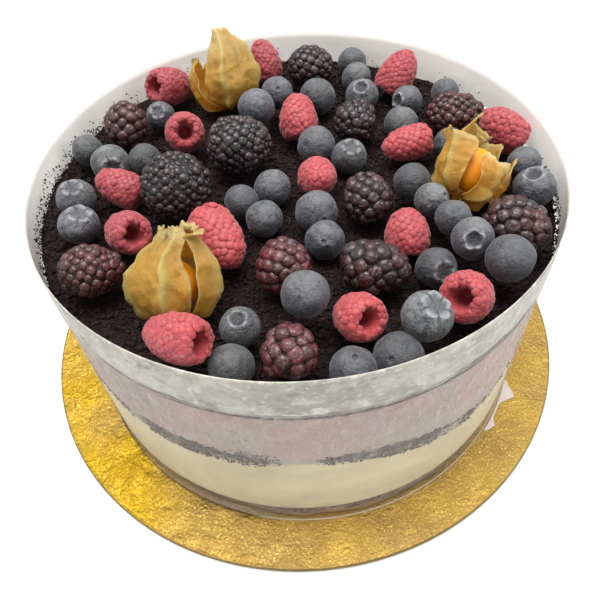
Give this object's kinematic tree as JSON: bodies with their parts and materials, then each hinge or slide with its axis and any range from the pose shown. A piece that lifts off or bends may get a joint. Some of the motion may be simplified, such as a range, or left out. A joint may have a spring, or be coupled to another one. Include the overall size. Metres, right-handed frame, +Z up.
{
  "type": "layered ice cream cake in a clear collar on a gold board",
  "caption": "Round frozen layer cake of vanilla and berry ice cream in a clear collar on a gold board, topped with dark crumbs, frozen berries and husked orange fruit.",
  "frame": {"origin": "middle of the board's underside, on the surface it stands on", "axes": "+Z up; -Y towards the pictured front; +X to its right"},
  "size_m": [0.252, 0.252, 0.1303],
  "materials": {
    "gold_foil": "crinkled gold foil laminated on card, with an embossed bubbly texture",
    "clear_film": "clear film, hazy with frost and smears",
    "biscuit": "dry crumbly biscuit",
    "vanilla_ice_cream": "smooth soft cream, slightly translucent",
    "crumb_seam": "dark crumbs pressed into cream",
    "berry_ice_cream": "pale pink ice cream with dark specks",
    "dark_crumbs": "loose dark biscuit crumbs",
    "blueberry": "frozen, with a pale bloom and frost",
    "raspberry": "frozen drupelets with pale frost",
    "bramble": "frozen dark drupelets with frost between them",
    "husk": "dry papery husk with raised veins, translucent",
    "orange_fruit": "smooth glossy skin",
    "white_paper": "thin greaseproof paper"
  },
  "bodies": {
    "root": {"berry_layer": "berry_ice_cream", "biscuit_base": "biscuit", "blueberries_01": "blueberry", "blueberries_02": "blueberry", "blueberries_03": "blueberry", "blueberries_04": "blueberry", "blueberries_05": "blueberry", "blueberries_06": "blueberry", "blueberries_07": "blueberry", "blueberries_08": "blueberry", "blueberries_09": "blueberry", "blueberries_10": "blueberry", "blueberries_11": "blueberry", "blueberries_12": "blueberry", "blueberries_13": "blueberry", "blueberries_14": "blueberry", "blueberries_15": "blueberry", "blueberries_16": "blueberry", "blueberries_17": "blueberry", "blueberries_18": "blueberry", "blueberries_19": "blueberry", "bramble_01": "bramble", "bramble_02": "bramble", "bramble_03": "bramble", "bramble_04": "bramble", "bramble_05": "bramble", "bramble_06": "bramble", "bramble_07": "bramble", "bramble_08": "bramble", "bramble_09": "bramble", "bramble_10": "bramble", "bramble_11": "bramble", "bramble_12": "bramble", "cake_board": "gold_foil", "collar": "clear_film", "crumb_seam": "crumb_seam", "crumb_top": "dark_crumbs", "husk_1": "husk", "husk_2": "husk", "husk_3": "husk", "husk_fruit_1": "orange_fruit", "husk_fruit_2": "orange_fruit", "husk_fruit_3": "orange_fruit", "paper_corner": "white_paper", "raspberry_01": "raspberry", "raspberry_02": "raspberry", "raspberry_03": "raspberry", "raspberry_04": "raspberry", "raspberry_05": "raspberry", "raspberry_06": "raspberry", "raspberry_07": "raspberry", "raspberry_08": "raspberry", "raspberry_09": "raspberry", "raspberry_10": "raspberry", "raspberry_11": "raspberry", "raspberry_12": "raspberry", "raspberry_13": "raspberry", "raspberry_14": "raspberry", "raspberry_15": "raspberry", "vanilla_layer": "vanilla_ice_cream"}
  },
  "joints": []
}
